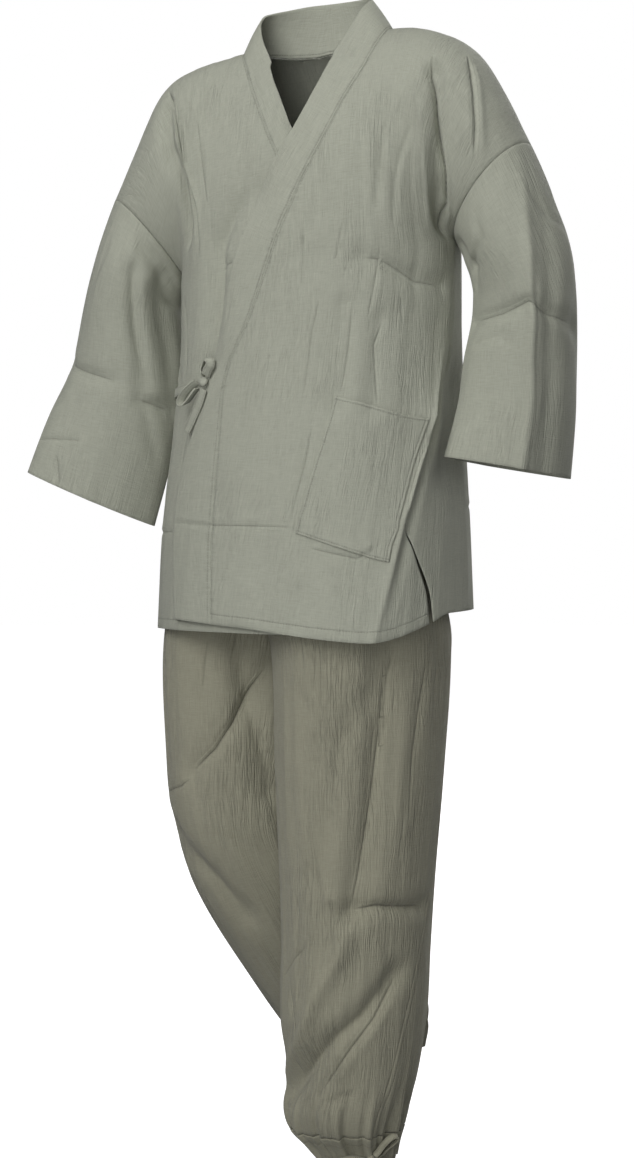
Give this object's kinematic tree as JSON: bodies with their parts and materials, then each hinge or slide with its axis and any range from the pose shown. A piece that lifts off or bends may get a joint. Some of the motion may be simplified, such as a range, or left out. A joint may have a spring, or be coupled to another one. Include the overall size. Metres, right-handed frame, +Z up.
{
  "type": "samue",
  "caption": "Wrapped cotton work jacket with a collar band, patch pocket and side ties, worn over loose trousers tied at the ankles.",
  "frame": {"origin": "middle of the shoulder line at the nape, where the wearer carries the jacket", "axes": "+Z up, front of the garment towards -Y, wearer's left towards +X"},
  "size_m": [0.709, 0.4334, 1.4837],
  "materials": {
    "jacket_cloth": "matt crinkled cotton, plain weave, light grey green",
    "trouser_cloth": "matt crinkled cotton, plain weave, darker olive grey"
  },
  "bodies": {
    "root": {"jacket_body_left": "jacket_cloth", "jacket_body_right": "jacket_cloth", "collar_band": "jacket_cloth", "sleeve_left": "jacket_cloth", "sleeve_right": "jacket_cloth", "patch_pocket": "jacket_cloth", "tie_knot": "jacket_cloth", "tie_loop_upper": "jacket_cloth", "tie_loop_lower": "jacket_cloth", "tie_end": "jacket_cloth", "tie_side": "jacket_cloth", "leg_left_front": "trouser_cloth", "leg_left_back": "trouser_cloth", "leg_right_front": "trouser_cloth", "leg_right_back": "trouser_cloth", "waistband": "trouser_cloth", "ankle_casing_left": "trouser_cloth", "ankle_casing_right": "trouser_cloth", "ankle_knot_left": "trouser_cloth", "ankle_loop_outer_left": "trouser_cloth", "ankle_loop_inner_left": "trouser_cloth", "ankle_lace_end_left": "trouser_cloth", "ankle_knot_right": "trouser_cloth", "ankle_loop_outer_right": "trouser_cloth", "ankle_loop_inner_right": "trouser_cloth", "ankle_lace_end_right": "trouser_cloth"}
  },
  "joints": []
}
